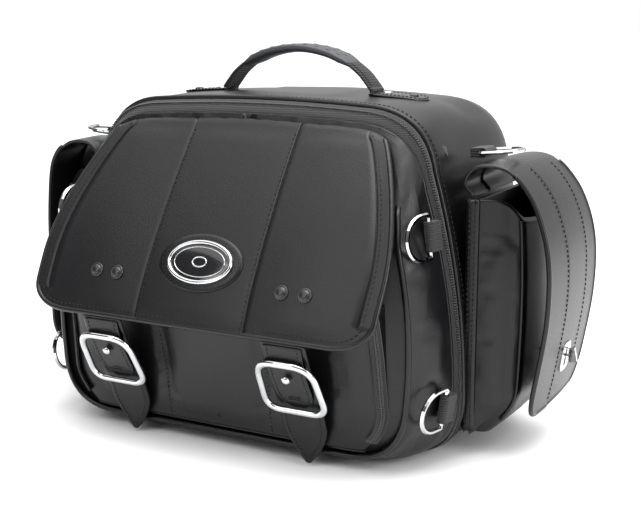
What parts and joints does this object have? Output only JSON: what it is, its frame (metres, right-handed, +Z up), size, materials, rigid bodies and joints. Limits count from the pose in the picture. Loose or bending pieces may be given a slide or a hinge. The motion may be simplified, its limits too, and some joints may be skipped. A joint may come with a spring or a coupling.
{
  "type": "motorcycle tail bag",
  "caption": "Black leather-look motorcycle tail bag with zip-open case, strapped front flap over a pocket, flapped side pockets, chrome D-rings and a top carrying handle.",
  "frame": {"origin": "on the ground under the middle of the bag's overall box", "axes": "+X across the bag towards the right-hand side pocket as seen from the front, +Y to the back panel, +Z up"},
  "size_m": [0.553, 0.289, 0.3615],
  "materials": {
    "leather": "fine-grained black synthetic leather, soft sheen",
    "lining": "matt black lining cloth over board",
    "webbing": "ribbed black webbing",
    "zip_tape": "black coil zip and tape",
    "grip_rubber": "matt moulded rubber",
    "hard_plastic": "black moulded plastic",
    "badge_black": "gloss black inlay",
    "rivet_black": "black enamelled cap",
    "chrome": "bright polished chrome plate"
  },
  "bodies": {
    "case": {"case_shell": "leather", "back_panel": "leather", "base_board": "lining", "case_zip": "zip_tape", "case_piping": "leather", "handle_webbing": "webbing", "handle_grip": "grip_rubber", "handle_tab_left": "leather", "handle_tab_right": "leather", "side_pocket_left": "leather", "side_flap_root_left": "leather", "lock_base_left": "chrome", "shoulder_left_loop": "webbing", "side_pocket_right": "leather", "side_flap_root_right": "leather", "lock_base_right": "chrome", "shoulder_right_loop": "webbing"},
    "lid": {"lid_shell": "leather", "front_pocket": "leather", "lid_zip": "zip_tape", "lid_piping": "leather", "pocket_piping": "leather", "pocket_zip_left": "zip_tape", "clip_socket_left": "hard_plastic", "upper_left_loop": "webbing", "lower_left_loop": "webbing", "pocket_zip_right": "zip_tape", "clip_socket_right": "hard_plastic", "upper_right_loop": "webbing", "lower_right_loop": "webbing"},
    "front_flap": {"front_flap": "leather", "badge_rim": "chrome", "badge_plate": "badge_black", "flap_rivet_left_inner": "rivet_black", "flap_rivet_left_outer": "rivet_black", "flap_rivet_right_inner": "rivet_black", "flap_rivet_right_outer": "rivet_black"},
    "strap_left": {"strap_left": "leather", "buckle_left": "chrome", "strap_stud_left": "chrome", "clip_plug_left": "hard_plastic"},
    "upper_left_ring": {"upper_left_ring": "chrome"},
    "lower_left_ring": {"lower_left_ring": "chrome"},
    "shoulder_left_ring": {"shoulder_left_ring": "chrome"},
    "side_flap_left": {"side_flap_left": "leather", "lock_plate_left": "chrome"},
    "lock_knob_left": {"lock_knob_left": "chrome"},
    "strap_right": {"strap_right": "leather", "buckle_right": "chrome", "strap_stud_right": "chrome", "clip_plug_right": "hard_plastic"},
    "upper_right_ring": {"upper_right_ring": "chrome"},
    "lower_right_ring": {"lower_right_ring": "chrome"},
    "shoulder_right_ring": {"shoulder_right_ring": "chrome"},
    "side_flap_right": {"side_flap_right": "leather", "lock_plate_right": "chrome"},
    "lock_knob_right": {"lock_knob_right": "chrome"},
    "zip_slider": {"zip_slider": "hard_plastic"},
    "zip_pull": {"zip_pull": "hard_plastic"}
  },
  "joints": [
    {"name": "lid_hinge", "type": "hinge", "parent": "case", "child": "lid", "pos_m": [-0.00762, -0.02564, 0.0006], "axis": [1, 0, 0], "range_deg": [0, 75]},
    {"name": "front_flap_hinge", "type": "hinge", "parent": "lid", "child": "front_flap", "pos_m": [-0.00762, -0.04264, 0.2835], "axis": [-1, 0, 0], "range_deg": [0, 120]},
    {"name": "strap_left_hinge", "type": "hinge", "parent": "front_flap", "child": "strap_left", "pos_m": [-0.10062, -0.14164, 0.1215], "axis": [-1, 0, 0], "range_deg": [0, 80]},
    {"name": "upper_left_ring_hinge", "type": "hinge", "parent": "lid", "child": "upper_left_ring", "pos_m": [-0.19412, -0.05614, 0.205], "axis": [-0.0998, 0, -0.995], "range_deg": [0, 120]},
    {"name": "lower_left_ring_hinge", "type": "hinge", "parent": "lid", "child": "lower_left_ring", "pos_m": [-0.20962, -0.05614, 0.058], "axis": [0.1593, 0, -0.9872], "range_deg": [0, 120]},
    {"name": "shoulder_left_ring_hinge", "type": "hinge", "parent": "case", "child": "shoulder_left_ring", "pos_m": [-0.21012, 0.03186, 0.268], "axis": [0, 1, 0], "range_deg": [0, 100]},
    {"name": "side_flap_left_hinge", "type": "hinge", "parent": "case", "child": "side_flap_left", "pos_m": [-0.24562, 0.05436, 0.2566], "axis": [0, 1, 0], "range_deg": [0, 120]},
    {"name": "lock_knob_left_turn", "type": "hinge", "parent": "case", "child": "lock_knob_left", "pos_m": [-0.26062, 0.05686, 0.084], "axis": [-0.9992, 0, 0.04], "range_deg": [0, 90]},
    {"name": "strap_right_hinge", "type": "hinge", "parent": "front_flap", "child": "strap_right", "pos_m": [0.08538, -0.14164, 0.1215], "axis": [-1, 0, 0], "range_deg": [0, 80]},
    {"name": "upper_right_ring_hinge", "type": "hinge", "parent": "lid", "child": "upper_right_ring", "pos_m": [0.17888, -0.05614, 0.205], "axis": [-0.0998, 0, 0.995], "range_deg": [0, 120]},
    {"name": "lower_right_ring_hinge", "type": "hinge", "parent": "lid", "child": "lower_right_ring", "pos_m": [0.19438, -0.05614, 0.058], "axis": [0.1593, 0, 0.9872], "range_deg": [0, 120]},
    {"name": "shoulder_right_ring_hinge", "type": "hinge", "parent": "case", "child": "shoulder_right_ring", "pos_m": [0.19488, 0.03186, 0.268], "axis": [0, -1, 0], "range_deg": [0, 100]},
    {"name": "side_flap_right_hinge", "type": "hinge", "parent": "case", "child": "side_flap_right", "pos_m": [0.23038, 0.05436, 0.2566], "axis": [0, -1, 0], "range_deg": [0, 120]},
    {"name": "lock_knob_right_turn", "type": "hinge", "parent": "case", "child": "lock_knob_right", "pos_m": [0.24538, 0.05686, 0.0812], "axis": [0.9801, 0, 0.1987], "range_deg": [0, 90]},
    {"name": "zip_slider_slide", "type": "slide", "parent": "case", "child": "zip_slider", "axis": [0.0985, 0, 0.9951], "range_m": [0, 0.12]},
    {"name": "zip_pull_hinge", "type": "hinge", "parent": "zip_slider", "child": "zip_pull", "pos_m": [-0.21827, -0.02564, 0.0803], "axis": [0, 1, 0], "range_deg": [0, 150]}
  ]
}
